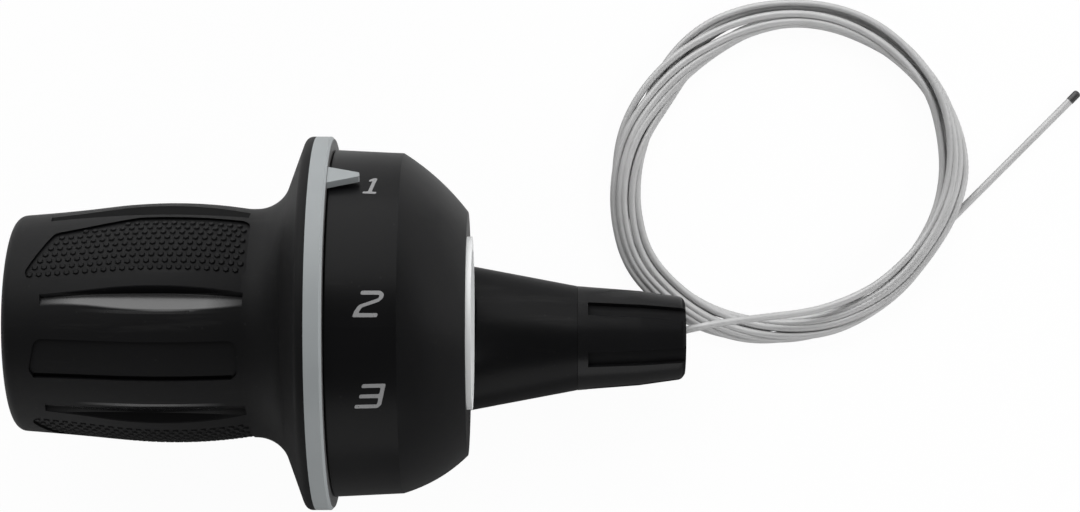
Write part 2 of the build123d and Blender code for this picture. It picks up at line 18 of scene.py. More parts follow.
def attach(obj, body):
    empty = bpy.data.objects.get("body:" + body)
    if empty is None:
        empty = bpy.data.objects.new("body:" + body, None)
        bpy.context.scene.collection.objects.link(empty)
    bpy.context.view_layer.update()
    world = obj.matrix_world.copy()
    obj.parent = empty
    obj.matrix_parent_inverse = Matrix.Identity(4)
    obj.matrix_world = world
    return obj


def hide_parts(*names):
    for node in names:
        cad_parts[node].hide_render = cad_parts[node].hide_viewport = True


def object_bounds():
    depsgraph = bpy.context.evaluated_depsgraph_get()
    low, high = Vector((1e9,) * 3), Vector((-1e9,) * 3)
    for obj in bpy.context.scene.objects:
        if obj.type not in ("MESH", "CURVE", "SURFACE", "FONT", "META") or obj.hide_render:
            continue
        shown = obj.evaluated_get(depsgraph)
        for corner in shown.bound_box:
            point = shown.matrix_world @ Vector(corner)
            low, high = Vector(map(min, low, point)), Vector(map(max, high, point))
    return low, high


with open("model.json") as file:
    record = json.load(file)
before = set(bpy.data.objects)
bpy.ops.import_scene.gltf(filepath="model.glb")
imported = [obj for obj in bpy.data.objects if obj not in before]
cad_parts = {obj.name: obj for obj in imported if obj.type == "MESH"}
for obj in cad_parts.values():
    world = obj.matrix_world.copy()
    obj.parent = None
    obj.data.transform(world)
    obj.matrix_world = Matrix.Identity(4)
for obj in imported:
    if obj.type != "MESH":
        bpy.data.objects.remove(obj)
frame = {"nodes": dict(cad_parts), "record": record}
nodes = frame["nodes"]
solid_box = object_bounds()
mm = 0.001
print("solids in the frame:", len(nodes))

# %% [markdown]
# The camera
#
# The photograph looks straight down on the shifter from a little under half a metre, so that the near
# parts look a few percent larger than the cable on the table. A camera with no turn at all looks down
# its own Z axis, with +Y up in the picture and +X to the right, which is just what is wanted here. The
# lens is written for a 36 mm wide sensor.


# %% Camera straight above the shifter
def add_object(name, data):
    """A new object at the origin for this mesh, curve, lamp or camera."""
    item = bpy.data.objects.new(name, data)
    bpy.context.scene.collection.objects.link(item)
    return item


camera_place = (31.0, 10.15, 430.0)
camera_data = bpy.data.cameras.new("photo_camera")
camera_data.sensor_width = 36.0
camera_data.lens = 94.7
camera = add_object("photo_camera", camera_data)
camera.location = [value * mm for value in camera_place]
bpy.context.scene.camera = camera
bpy.context.scene.view_settings.view_transform = "Standard"
print("camera height above the bar's axis in mm:", camera_place[2])

# %% [markdown]
# The route of the inner cable
#
# The inner cable is one steel wire rope about 1.2 mm thick. It leaves the adjuster level, falls in a
# long easy curve on to its own hank of eight turns, and its last stretch runs out straight from under
# the hank. A coil could be drawn as a stack of rings, but then it would have no beginning and no end.
# Here it is one NURBS spline, as the real one is one wire. The first points are those of the solid
# lead, a little higher where they cross.

# %% Lead out of the adjuster
cable_diameter = 1.2 * mm
lead_points = [
    (45.0, -2.852, -19.793),
    (49.0, -2.852, -19.793),
    (57.3, -0.75, -19.9),
    (66.5, 0.4, -22.0),
    (74.5, 1.2, -24.0),
    (81.0, 3.4, -24.5),
    (86.0, 6.2, -24.5),
]
print("points in the lead:", len(lead_points))

# %% [markdown]
# The hank
#
# A hank of wire is never a true ring: it is flattened where the lead comes in, and it bulges where it
# springs out beside the adjuster. The lists below give the middle, the width and the height of the
# bundle at every twelfth of a turn. Inside the bundle the wire goes round like a rope's strand: over
# the top from the inner edge to the outer one, and back underneath. It gains a ninth of a round with
# every turn, so each turn has a place of its own and the upper turns cross the lower ones at shallow
# angles.

# %% Shape of the bundle
coil_middle = (71.1, 23.35)
bundle_radius = (26.2, 26.7, 26.1, 25.6, 25.1, 24.9, 26.2, 27.8, 26.6, 24.9, 24.0, 24.4)
bundle_width = (3.6, 2.1, 3.6, 3.5, 5.1, 4.6, 3.7, 4.0, 3.7, 3.6, 3.3, 2.7)
bundle_height = (2.0, 3.0, 2.0, 2.0, 1.2, 1.2, 1.7, 1.1, 1.1, 1.6, 2.2, 2.4)
floor_height = -27.55


def around(values, bearing):
    """A value of the list at this bearing, eased between the two twelfths of a turn beside it."""
    place = (bearing % 360) / 30
    first = int(place) % 12
    share = (1 - math.cos(math.pi * (place - int(place)))) / 2
    return values[first] * (1 - share) + values[(first + 1) % 12] * share


print("widest part of the bundle in mm:", max(bundle_width))

# %% [markdown]
# The way along the hank
#
# The wire doesn't cross at an even rate: it runs side by side with its neighbours for a while, and
# then crosses three times in each turn, which is what a hank does when it is wound by hand. A slow
# stray in and out makes the turns differ in size. The tail leaves under all the other turns, so these
# rise over it in one long low hump.

# %% Hump over the tail
hump_bearing = -21.0
hump_reach = 65.0
hump_height = 1.25


def hump(bearing):
    """How far a turn rises over the tail here: one wire in the middle, nothing far from it."""
    off = (bearing - hump_bearing + 180) % 360 - 180
    if abs(off) > hump_reach:
        return 0.0
    return hump_height * math.cos(math.radians(off * 90 / hump_reach)) ** 2


print("rise over the tail in mm:", hump(hump_bearing))

# %% Turns of the hank
hank_turns = 8
points_per_turn = 24
first_bearing = -30.0
start_round = 0.1
rounds_per_turn = 1 + 1 / (hank_turns + 1)
crossings_per_turn = 3
crossing_bearing = 30.0
crossing_swing = 0.05
edge_hold = 0.13
stray_width = 0.2
strays_per_turn = 1.37
settle_turns = 0.12


def hank_point(turns):
    """The control point of the wire after so many turns; it settles on the table at the hank's end."""
    bearing = first_bearing + 360 * turns
    crossing = math.radians(crossings_per_turn * (bearing - crossing_bearing))
    swing = crossing_swing * math.sin(crossing)
    rounds = 2 * math.pi * (start_round + rounds_per_turn * turns + swing)
    angle = rounds + edge_hold * math.sin(2 * rounds)
    stray = stray_width * math.sin(2 * math.pi * strays_per_turn * turns)
    inwards = math.cos(angle) * around(bundle_width, bearing) / 2
    radius = around(bundle_radius, bearing) + stray - inwards
    reach = radius / math.cos(math.pi / points_per_turn)
    lift = (1 + math.sin(angle)) * around(bundle_height, bearing) / 2 + hump(bearing)
    settled = min((hank_turns - turns) / settle_turns, 1.0)
    x = coil_middle[0] + reach * math.cos(math.radians(bearing))
    y = coil_middle[1] + reach * math.sin(math.radians(bearing))
    return (x, y, floor_height + lift * settled)


hank_points = [hank_point(step / points_per_turn) for step in range(hank_turns * points_per_turn - 1)]
print("points in the hank:", len(hank_points))

# %% [markdown]
# One spline for the whole cable
#
# The lead, the hank and the straight tail are strung together as the control points of a single NURBS
# spline. Its order and its clamped ends are set after the points are in, because an empty spline would
# not keep them. A plain copy of it is made a mesh and removed again at once; nothing is taken from it.

# %% Spline of the cable
tail_points = [
    (87.8, 6.6, floor_height),
    (97.0, 15.8, floor_height),
    (107.0, 25.8, floor_height),
    (116.8, 35.6, floor_height),
]
cable_points = lead_points + hank_points + tail_points
route_curve = bpy.data.curves.new("cable_route", "CURVE")
route_curve.dimensions = "3D"
route_spline = route_curve.splines.new("NURBS")
route_spline.points.add(len(cable_points) - 1)
for point, (x, y, z) in zip(route_spline.points, cable_points):
    point.co = (x * mm, y * mm, z * mm, 1.0)
route_spline.order_u = 3
route_spline.use_endpoint_u = True
route_spline.resolution_u = 8
route = add_object("cable_route", route_curve)
bpy.context.view_layer.update()
line_mesh = bpy.data.meshes.new_from_object(route)
bpy.data.meshes.remove(line_mesh)

# %% [markdown]
# The wires of the cable
#
# Close up, the cable is a rope of fine wires that wind round each other about once in ten millimetres.
# Modelling each wire would cost millions of faces. Instead a small outline with twelve lobes is drawn
# along the spline, and the tilt of the control points turns it steadily, so that the lobes become the
# wound wires. The result is made a mesh, shaded smooth, and the curves that made it are removed.

# %% Lobed outline of the rope
wire_count = 12
valley_share = 0.86
rope_curve = bpy.data.curves.new("rope_outline", "CURVE")
rope_curve.dimensions = "2D"
rope_spline = rope_curve.splines.new("POLY")
rope_spline.points.add(2 * wire_count - 1)
for index, point in enumerate(rope_spline.points):
    lobe_radius = cable_diameter / 2 * (1.0 if index % 2 == 0 else valley_share)
    turn = math.pi * index / wire_count
    point.co = (lobe_radius * math.cos(turn), lobe_radius * math.sin(turn), 0.0, 1.0)
rope_spline.use_cyclic_u = True
rope_outline = add_object("rope_outline", rope_curve)
print("points in the rope's outline:", len(rope_spline.points))

# %% Cable drawn along the spline
lay_length = 11.0
turned = 0.0
before = cable_points[0]
for point, place in zip(route_spline.points, cable_points):
    turned += math.dist(before, place) / lay_length * 2 * math.pi
    point.tilt = turned
    before = place
route_curve.bevel_mode = "OBJECT"
route_curve.bevel_object = rope_outline
route_curve.use_fill_caps = True
depsgraph = bpy.context.evaluated_depsgraph_get()
cable_mesh = bpy.data.meshes.new_from_object(route.evaluated_get(depsgraph), depsgraph=depsgraph)
cable_mesh.name = "free_cable"
for face in cable_mesh.polygons:
    face.use_smooth = True
cable = add_object("free_cable", cable_mesh)
bpy.data.objects.remove(route)
bpy.data.objects.remove(rope_outline)
print("faces in the cable:", len(cable_mesh.polygons))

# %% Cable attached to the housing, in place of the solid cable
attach(cable, "housing")
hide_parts("cable_lead", "cable_coil", "cable_tail")
print("cord:", cable.name)

# %% [markdown]
# The dial's numbers
#
# The three gears are printed on the housing in light grey, in a slanted squared-off style. Blender's
# own text could be used, but its font would have other forms, so each number is a flat outline of a
# few corners. Bevelling the corners rounds them as a screen print does. The outline is cut into narrow
# strips, so that it can bend round the barrel, and is given the thickness of a coat of ink.

# %% Outlines of the numbers
number_outlines = {
    "1": [(0.9, 3.8), (1.42, 3.8), (1.42, 0.44), (2.15, 0.44), (2.15, 0.0), (0.15, 0.0),
          (0.15, 0.44), (0.9, 0.44), (0.9, 3.05), (0.35, 2.8), (0.35, 3.25)],
    "2": [(0.5, 3.8), (3.25, 3.8), (3.85, 3.35), (3.85, 2.75), (3.35, 2.2),
          (1.15, 1.4), (0.8, 0.58), (3.6, 0.58), (3.6, 0.0), (0.05, 0.0),
          (0.2, 0.9), (0.65, 1.75), (3.25, 2.72), (3.25, 3.22), (0.5, 3.22)],
    "3": [(0.5, 3.8), (3.85, 3.8), (3.85, 0.5), (3.4, 0.0), (0.1, 0.0), (0.1, 0.58), (3.25, 0.58),
          (3.25, 1.62), (0.45, 1.62), (0.45, 2.2), (3.25, 2.2), (3.25, 3.22), (0.5, 3.22)],
}
ink_corner = 0.2
ink_strip = 0.4
strip_count = 10
ink_sunk = 0.05
ink_proud = 0.03


def flat_number(name):
    """One number drawn flat, with round corners, cut into strips and as thick as its ink."""
    flat = bmesh.new()
    corners = [flat.verts.new((u, v, -ink_sunk)) for u, v in number_outlines[name]]
    flat.faces.new(corners)
    bmesh.ops.bevel(
        flat, geom=flat.verts[:], offset=ink_corner, affect="VERTICES", segments=2, profile=0.5, material=-1
    )
    bmesh.ops.triangulate(flat, faces=flat.faces[:])
    for strip in range(1, strip_count):
        everything = flat.verts[:] + flat.edges[:] + flat.faces[:]
        cut = (0.0, strip * ink_strip, 0.0)
        bmesh.ops.bisect_plane(flat, geom=everything, plane_co=cut, plane_no=(0.0, 1.0, 0.0))
    raised = bmesh.ops.extrude_face_region(flat, geom=flat.faces[:])
    raised_corners = [item for item in raised["geom"] if isinstance(item, bmesh.types.BMVert)]
    bmesh.ops.translate(flat, verts=raised_corners, vec=(0.0, 0.0, ink_sunk + ink_proud))
    return flat


print("numbers outlined:", len(number_outlines))

# %% Bend round the barrel
barrel_start = (0.15, 26.2)
barrel_end = (10.5, 25.7)
number_slant = 0.22


def barrel_radius(x):
    """The radius of the housing's barrel, which tapers a little towards the cone."""
    share = (x - barrel_start[0]) / (barrel_end[0] - barrel_start[0])
    return barrel_start[1] + share * (barrel_end[1] - barrel_start[1])


def bend_round_barrel(flat, left, bottom):
    """Slant a flat number and bend it round the barrel, from this station and this turn in degrees."""
    for corner in flat.verts:
        u, v, proud = corner.co
        x = left + u + number_slant * v
        radius = barrel_radius(x)
        turn = math.radians(bottom) - v / radius
        height = radius + proud
        corner.co = Vector((x, -height * math.sin(turn), height * math.cos(turn))) * mm
    bmesh.ops.recalc_face_normals(flat, faces=flat.faces[:])


print("barrel radius beside the ring in mm:", barrel_radius(barrel_start[0]))

# %% Numbers on the barrel
number_places = {"1": (5.0, -47.8), "2": (4.2, -3.2), "3": (4.3, 26.7)}
numbers_mesh = bpy.data.meshes.new("dial_numbers")
numbers_form = bmesh.new()
for name, (left, bottom) in number_places.items():
    number = flat_number(name)
    bend_round_barrel(number, left, bottom)
    number_mesh = bpy.data.meshes.new("number_" + name)
    number.to_mesh(number_mesh)
    number.free()
    numbers_form.from_mesh(number_mesh)
    bpy.data.meshes.remove(number_mesh)
numbers_form.to_mesh(numbers_mesh)
numbers_form.free()
dial_numbers = add_object("dial_numbers", numbers_mesh)
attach(dial_numbers, "housing")
print("faces in the dial's numbers:", len(numbers_mesh.polygons))

# %% [markdown]
# The knurled pads
#
# Four sunk panels of the grip are filled with small blunt pegs, so that a wet glove doesn't slip. A
# bump in the rubber's finish would look flat at the edge of the grip, where the pegs stand up against
# the light. They are real pegs here: six-sided and tapered, a few faces each, in staggered rows on the
# panel's floor. The panels are two mirrored pairs, each with a slanted end and a long slope beside it,
# and a peg is left out where it would meet one of these edges.

# %% Skin of the grip
belly_top = 18.2
belly_middle = -23.8
belly_curve = 73.0
shoulder = -33.0
taper_slope = 0.127
taper_bend = 0.0021
grip_end = -47.8


def skin_radius(x):
    """The radius of the grip's skin: a wide arc over the belly, and a hollow taper to the end."""
    on_belly = max(x, shoulder)
    beyond = on_belly - x
    arc = math.sqrt(belly_curve ** 2 - (on_belly - belly_middle) ** 2) - belly_curve
    return belly_top + arc - taper_slope * beyond + taper_bend * beyond ** 2


print("radius of the grip's end in mm:", round(skin_radius(grip_end), 2))

# %% Outline of a pad
pad_middle = -28.6
pad_length = 33.3
pad_width = 11.3
pad_slant = 4.6
pad_drop = 2.6
pad_shoulder = 17.0
pad_depth = 0.4
pad_margin = 0.62
end_slope = pad_slant / (pad_width - pad_drop)
long_slope = (pad_shoulder - pad_slant) / pad_drop


def pad_start(across):
    """Where the pegs of a row begin: behind the pad's slanted end and behind its long slope."""
    behind_end = end_slope * (across + pad_width / 2) + pad_margin * math.hypot(1.0, end_slope)
    up_slope = across - pad_width / 2 + pad_drop
    behind_slope = pad_slant + long_slope * up_slope + pad_margin * math.hypot(1.0, long_slope)
    return max(behind_end, behind_slope) - pad_length / 2


print("first peg of the middle row in mm:", round(pad_start(0.0), 2))

# %% Places of the pegs
peg_pitch = 1.37
peg_row = 1.1
peg_places = []
rows = int((pad_width / 2 - pad_margin) / peg_row)
columns = int(pad_length / 2 / peg_pitch)
for row in range(-rows, rows + 1):
    across = row * peg_row
    shift = peg_pitch / 2 if row % 2 else 0.0
    for column in range(-columns, columns + 1):
        along = column * peg_pitch + shift
        if pad_start(across) <= along <= pad_length / 2 - pad_margin:
            peg_places.append((along, across))
print("pegs on a pad:", len(peg_places))

# %% Pegs on the four pads
pads = ((-43.1, 1), (77.1, -1), (136.9, 1), (257.1, -1))
peg_sides = 6
peg_foot = 0.6
peg_top = 0.34
peg_height = 0.34
peg_sunk = 0.12
pegs_mesh = bpy.data.meshes.new("grip_pad_pegs")
pegs_form = bmesh.new()
for pad_turn, side in pads:
    for along, across in peg_places:
        station = pad_middle + along
        floor = skin_radius(station) - pad_depth
        turn = Matrix.Rotation(math.radians(pad_turn) - math.asin(side * across / floor), 4, "X")
        rise = floor - peg_sunk + peg_height / 2
        bmesh.ops.create_cone(
            pegs_form, cap_ends=True, segments=peg_sides, radius1=peg_foot * mm, radius2=peg_top * mm,
            depth=peg_height * mm, matrix=turn @ Matrix.Translation((station * mm, 0.0, rise * mm)),
        )
pegs_form.to_mesh(pegs_mesh)
pegs_form.free()
pad_pegs = add_object("grip_pad_pegs", pegs_mesh)
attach(pad_pegs, "grip")
print("faces in the pegs:", len(pegs_mesh.polygons))

# %% [markdown]
# The table
#
# The shifter lies on a plain white table, which is no part of it. One large flat face is enough, at
# the height of the lowest point of the solids.

# %% Table top
table_height = solid_box[0][2]
table_half = 3.0
table_mesh = bpy.data.meshes.new("table")
table_form = bmesh.new()
bmesh.ops.create_grid(table_form, x_segments=1, y_segments=1, size=table_half)
bmesh.ops.translate(table_form, verts=table_form.verts, vec=(0.0, 0.0, table_height))
table_form.to_mesh(table_mesh)
table_form.free()
table = add_object("table", table_mesh)
print("table height in mm:", round(table_height / mm, 2))

# %% [markdown]
# The white of the table
#
# The camera sees the table mostly as paper white with a soft shadow, while the light that the table
# throws back stays that of white board. A shader can tell the two apart, because each ray knows where
# it comes from. A small helper makes the nodes for sums, here and in the finishes below.


# %% White table
def math_node(tree, operation, first, second=0.0):
    """The result of a math node that is fed by two sockets or plain numbers."""
    node = tree.nodes.new("ShaderNodeMath")
    node.operation = operation
    for index, value in enumerate((first, second)):
        if isinstance(value, (int, float)):
            node.inputs[index].default_value = value
        else:
            tree.links.new(value, node.inputs[index])
    return node.outputs["Value"]


paper_share = 0.96
table_white = bpy.data.materials.new("table_white")
table_white.use_nodes = True
table_tree = table_white.node_tree
table_tree.nodes.clear()
board = table_tree.nodes.new("ShaderNodeBsdfDiffuse")
paper = table_tree.nodes.new("ShaderNodeEmission")
paper.inputs["Color"].default_value = (1.0, 1.0, 1.0, 1.0)
rays = table_tree.nodes.new("ShaderNodeLightPath")
direct = rays.outputs["Is Camera Ray"]
seen = math_node(table_tree, "MAXIMUM", direct, rays.outputs["Is Transmission Ray"])
blend = table_tree.nodes.new("ShaderNodeMixShader")
table_tree.links.new(math_node(table_tree, "MULTIPLY", seen, paper_share), blend.inputs["Fac"])
table_tree.links.new(board.outputs["BSDF"], blend.inputs[1])
table_tree.links.new(paper.outputs["Emission"], blend.inputs[2])
table_out = table_tree.nodes.new("ShaderNodeOutputMaterial")
table_tree.links.new(blend.outputs["Shader"], table_out.inputs["Surface"])
table_mesh.materials.append(table_white)
print("share of paper white:", paper_share)

# %% [markdown]
# Painted shade on the table
#
# Black parts would show all of that white along their edges, where they should look nearly black. So
# shiny surfaces see the table dimmer on the right, and darker still in front. Both are painted shade
# that shows only in reflections. The darker front stands in for the shadow that the shifter casts
# forward on the table. Both tones come in softly, from one place along an axis of the table to
# another, in metres.


# %% Places of the painted shade on the table's right side and front
def object_axes(tree):
    """The X, Y and Z of each point of a piece, in metres."""
    place = tree.nodes.new("ShaderNodeTexCoord")
    axes = tree.nodes.new("ShaderNodeSeparateXYZ")
    tree.links.new(place.outputs["Object"], axes.inputs["Vector"])
    return axes.outputs["X"], axes.outputs["Y"], axes.outputs["Z"]


def graded(tree, value, start=0.0, end=1.0, low=0.0, high=1.0):
    """A value that goes from low to high as another goes from start to end, and is held there."""
    grade = tree.nodes.new("ShaderNodeMapRange")
    bounds = {"From Min": start, "From Max": end, "To Min": low, "To Max": high}
    for name, bound in bounds.items():
        grade.inputs[name].default_value = bound
    tree.links.new(value, grade.inputs["Value"])
    return grade.outputs["Result"]


side_shade_edge = (-0.015, 0.005)
front_shade_left_edge = (-0.075, -0.045)
front_shade_back_edge = (0.005, -0.015)
table_x, table_y = object_axes(table_tree)[:2]
shiny = rays.outputs["Is Glossy Ray"]
# Painted shade: reflections see the table darker to the right of this edge.
painted_side_shade = math_node(table_tree, "MULTIPLY", shiny, graded(table_tree, table_x, *side_shade_edge))
right_of_edge = math_node(table_tree, "MULTIPLY", shiny, graded(table_tree, table_x, *front_shade_left_edge))
before_edge = graded(table_tree, table_y, *front_shade_back_edge)
# Painted shade in front, in reflections only, standing in for the shifter's shadow on the table.
painted_front_shade = math_node(table_tree, "MULTIPLY", right_of_edge, before_edge)
print("left edge of the dark card in mm:", round(front_shade_left_edge[0] / mm))


# %% Tones of the table
def mixed_colour(tree, mask, first, second):
    """The first colour where the mask is nothing, the second where it is whole."""
    mix = tree.nodes.new("ShaderNodeMix")
    mix.data_type = "RGBA"
    tree.links.new(mask, mix.inputs[0])
    for index, colour in ((6, first), (7, second)):
        if isinstance(colour, tuple):
            mix.inputs[index].default_value = (*colour, 1.0)
        else:
            tree.links.new(colour, mix.inputs[index])
    return mix.outputs[2]


# The board's own white, and the greys of the painted shade that reflections see.
board_white = (0.9, 0.9, 0.9)
side_shade_grey = (0.5, 0.5, 0.5)
front_shade_grey = (0.22, 0.22, 0.22)
side_shaded_tone = mixed_colour(table_tree, painted_side_shade, board_white, side_shade_grey)
shaded_board_tone = mixed_colour(table_tree, painted_front_shade, side_shaded_tone, front_shade_grey)
table_tree.links.new(shaded_board_tone, board.inputs["Color"])
print("nodes in the table's finish:", len(table_tree.nodes))

# %% [markdown]
# The light
#
# A large bright screen stands behind the shifter and shows in its upper flanks, with a dim one beside
# it and a low one in front. Three soft boxes that don't show in shiny surfaces light the pale parts.
# One strong lamp would be simpler, but it would leave hard spots on the satin mouldings. The places of
# the lamps, the points that they face and their widths and heights are in metres.


# %% Soft boxes
def soft_box(name, place, target, size, power, shows):
    """A rectangular lamp at one place, facing another, that shows in shiny surfaces or only lights."""
    lamp_data = bpy.data.lights.new(name, "AREA")
    lamp_data.shape = "RECTANGLE"
    lamp_data.size, lamp_data.size_y = size
    lamp_data.energy = power
    lamp = add_object(name, lamp_data)
    lamp.location = place
    facing = Vector(target) - Vector(place)
    lamp.rotation_euler = facing.to_track_quat("-Z", "Y").to_euler()
    lamp.visible_camera = False
    lamp.visible_glossy = shows


soft_box("back_screen", (-0.55, 0.8, 0.87), (-0.55, 0.0, 0.87), (1.3, 1.76), power=9.0, shows=True)
soft_box("back_corner", (0.65, 0.8, 0.87), (0.65, 0.0, 0.87), (1.1, 1.76), power=0.6, shows=True)
soft_box("front_wall", (0.03, -0.8, 0.33), (0.03, 0.0, 0.33), (2.4, 0.68), power=2.4, shows=True)
soft_box("back_box", (0.03, 0.55, 0.36), (0.03, 0.0, 0.0), (0.9, 0.45), power=3.0, shows=False)
soft_box("front_fill", (0.03, -0.6, 0.28), (0.03, 0.0, 0.0), (0.9, 0.3), power=1.5, shows=False)
soft_box("side_fill", (0.6, 0.05, 0.22), (0.03, 0.0, 0.0), (0.4, 0.3), power=2.2, shows=False)
print("lamps:", len(bpy.data.lights))

# %% Room around the table
room_level = 0.1
world = bpy.data.worlds.new("white_room")
world.use_nodes = True
bpy.context.scene.world = world
room_tree = world.node_tree
room_tree.nodes.clear()
room_rays = room_tree.nodes.new("ShaderNodeLightPath")
level = math_node(room_tree, "MAXIMUM", room_rays.outputs["Is Camera Ray"], room_level)
sky = room_tree.nodes.new("ShaderNodeBackground")
sky.inputs["Color"].default_value = (1.0, 1.0, 1.0, 1.0)
room_tree.links.new(level, sky.inputs["Strength"])
room_out = room_tree.nodes.new("ShaderNodeOutputWorld")
room_tree.links.new(sky.outputs["Background"], room_out.inputs["Surface"])
print("room:", world.name)

# %% [markdown]
# Shared effects
#
# Moulded parts share the same small marks: a fine grain left by the etched mould, a faint cloudiness
# in the colour, and hair scratches and dust from handling. Each effect is built once as a node group
# that gives out plain values, and every finish takes what it needs from it at its own scale and
# strength.


# %% Group for the mould's grain
def value_group(name, sliders, results):
    """A new shader node group with number sliders coming in and numbers going out."""
    group = bpy.data.node_groups.new(name, "ShaderNodeTree")
    for slider, start in sliders:
        socket = group.interface.new_socket(slider, in_out="INPUT", socket_type="NodeSocketFloat")
        socket.default_value = start
    for result in results:
        group.interface.new_socket(result, in_out="OUTPUT", socket_type="NodeSocketFloat")
    entry = group.nodes.new("NodeGroupInput")
    exit_node = group.nodes.new("NodeGroupOutput")
    place = group.nodes.new("ShaderNodeTexCoord").outputs["Object"]
    return group, entry, exit_node, place


mould_grain, entry, result, place = value_group(
    "mould_grain", [("Grain per metre", 2200.0), ("Cloud per metre", 90.0)], ["Grain", "Cloud"]
)
print("group:", mould_grain.name)


# %% Grain and cloud of a moulding
def noise(group, place, scale, detail, roughness):
    """A cloudy pattern over a place, from 0 to 1."""
    pattern = group.nodes.new("ShaderNodeTexNoise")
    pattern.inputs["Detail"].default_value = detail
    pattern.inputs["Roughness"].default_value = roughness
    group.links.new(place, pattern.inputs["Vector"])
    group.links.new(scale, pattern.inputs["Scale"])
    return pattern.outputs["Fac"]


fine = noise(mould_grain, place, entry.outputs["Grain per metre"], detail=3.0, roughness=0.6)
mould_grain.links.new(fine, result.inputs["Grain"])
cloud = noise(mould_grain, place, entry.outputs["Cloud per metre"], detail=4.0, roughness=0.5)
mould_grain.links.new(cloud, result.inputs["Cloud"])
print("nodes in the grain group:", len(mould_grain.nodes))

# %% Scratches and dust from handling
scratch_turn = (0.3, 0.5, 0.9)
scratch_stretch = (0.12, 1.6, 1.0)
handling_marks, entry, result, place = value_group(
    "handling_marks", [("Marks per metre", 160.0), ("Specks per metre", 420.0)], ["Scratches", "Dust"]
)
stretch = handling_marks.nodes.new("ShaderNodeMapping")
stretch.inputs["Rotation"].default_value = scratch_turn
stretch.inputs["Scale"].default_value = scratch_stretch
handling_marks.links.new(place, stretch.inputs["Vector"])
marks_scale = entry.outputs["Marks per metre"]
streaks = noise(handling_marks, stretch.outputs["Vector"], marks_scale, detail=5.0, roughness=0.7)
hair = graded(handling_marks, streaks, start=0.6, end=0.74)
handling_marks.links.new(hair, result.inputs["Scratches"])
specks = handling_marks.nodes.new("ShaderNodeTexVoronoi")
handling_marks.links.new(place, specks.inputs["Vector"])
handling_marks.links.new(entry.outputs["Specks per metre"], specks.inputs["Scale"])
motes = graded(handling_marks, specks.outputs["Distance"], start=0.09, end=0.04)
handling_marks.links.new(motes, result.inputs["Dust"])
print("group:", handling_marks.name)

# %% [markdown]
# Moulded finishes
#
# The rubber, the black plastic, the grey ring and the pale sleeve are all mouldings. They differ in
# colour, in how coarse the mould's grain is and in how far it spreads the light, so one recipe makes
# them all: the colour drifts between two near shades, scratches and dust lighten it a little, and the
# grain is a small bump, given in millimetres.


# %% Start of a finish
def new_finish(name):
    """A new material, its nodes and its main shader."""
    finish = bpy.data.materials.new(name)
    finish.use_nodes = True
    return finish, finish.node_tree, finish.node_tree.nodes["Principled BSDF"]


def effect(tree, group, **sliders):
    """A shared effect placed in a finish, with some of its sliders set."""
    node = tree.nodes.new("ShaderNodeGroup")
    node.node_tree = group
    for slider, value in sliders.items():
        node.inputs[slider.replace("_", " ").capitalize()].default_value = value
    return node


print("effects to place:", mould_grain.name, "and", handling_marks.name)

# %% Recipe for a moulded finish
dust_colour = (0.3, 0.3, 0.29)
scratch_strength = 0.025
moulded_drift = 0.06
grain_strength = 0.5


def moulded_finish(name, dark, light, roughness, specular, grain, bump_depth, dust):
    """A moulded plastic or rubber: two shades, how it shines, and its grain per metre."""
    finish, tree, surface = new_finish(name)
    surface.inputs["Specular IOR Level"].default_value = specular
    moulding = effect(tree, mould_grain, grain_per_metre=grain)
    handling = effect(tree, handling_marks)
    shades = mixed_colour(tree, moulding.outputs["Cloud"], dark, light)
    scratches = math_node(tree, "MULTIPLY", handling.outputs["Scratches"], scratch_strength)
    specks = math_node(tree, "MULTIPLY", handling.outputs["Dust"], dust)
    marked = mixed_colour(tree, math_node(tree, "ADD", scratches, specks), shades, dust_colour)
    tree.links.new(marked, surface.inputs["Base Color"])
    smoothest = roughness - moulded_drift
    spread = graded(tree, moulding.outputs["Cloud"], low=smoothest, high=roughness + moulded_drift)
    tree.links.new(spread, surface.inputs["Roughness"])
    relief = tree.nodes.new("ShaderNodeBump")
    relief.inputs["Strength"].default_value = grain_strength
    relief.inputs["Distance"].default_value = bump_depth * mm
    tree.links.new(moulding.outputs["Grain"], relief.inputs["Height"])
    tree.links.new(relief.outputs["Normal"], surface.inputs["Normal"])
    return finish


rubber = moulded_finish(
    "grip_rubber", dark=(0.003, 0.003, 0.0034), light=(0.005, 0.005, 0.0054),
    roughness=0.56, specular=0.28, grain=2600, bump_depth=0.02, dust=0.02,
)
pegs_mesh.materials.append(rubber)
print("finish:", rubber.name)

# %% Plastic mouldings that show
black_moulding = moulded_finish(
    "housing_black", dark=(0.002, 0.002, 0.0024), light=(0.004, 0.004, 0.0044),
    roughness=0.32, specular=0.27, grain=3200, bump_depth=0.01, dust=0.02,
)
adjuster_black = moulded_finish(
    "adjuster_black", dark=(0.002, 0.002, 0.0024), light=(0.004, 0.004, 0.0044),
    roughness=0.24, specular=0.48, grain=3200, bump_depth=0.006, dust=0.01,
)
ring_grey = moulded_finish(
    "ring_grey", dark=(0.279, 0.297, 0.303), light=(0.324, 0.345, 0.353),
    roughness=0.42, specular=0.45, grain=3600, bump_depth=0.01, dust=0.02,
)
sleeve_grey = moulded_finish(
    "sleeve_grey", dark=(0.76, 0.77, 0.77), light=(0.86, 0.87, 0.87),
    roughness=0.45, specular=0.45, grain=2800, bump_depth=0.01, dust=0.02,
)
print("finishes so far:", len(bpy.data.materials))

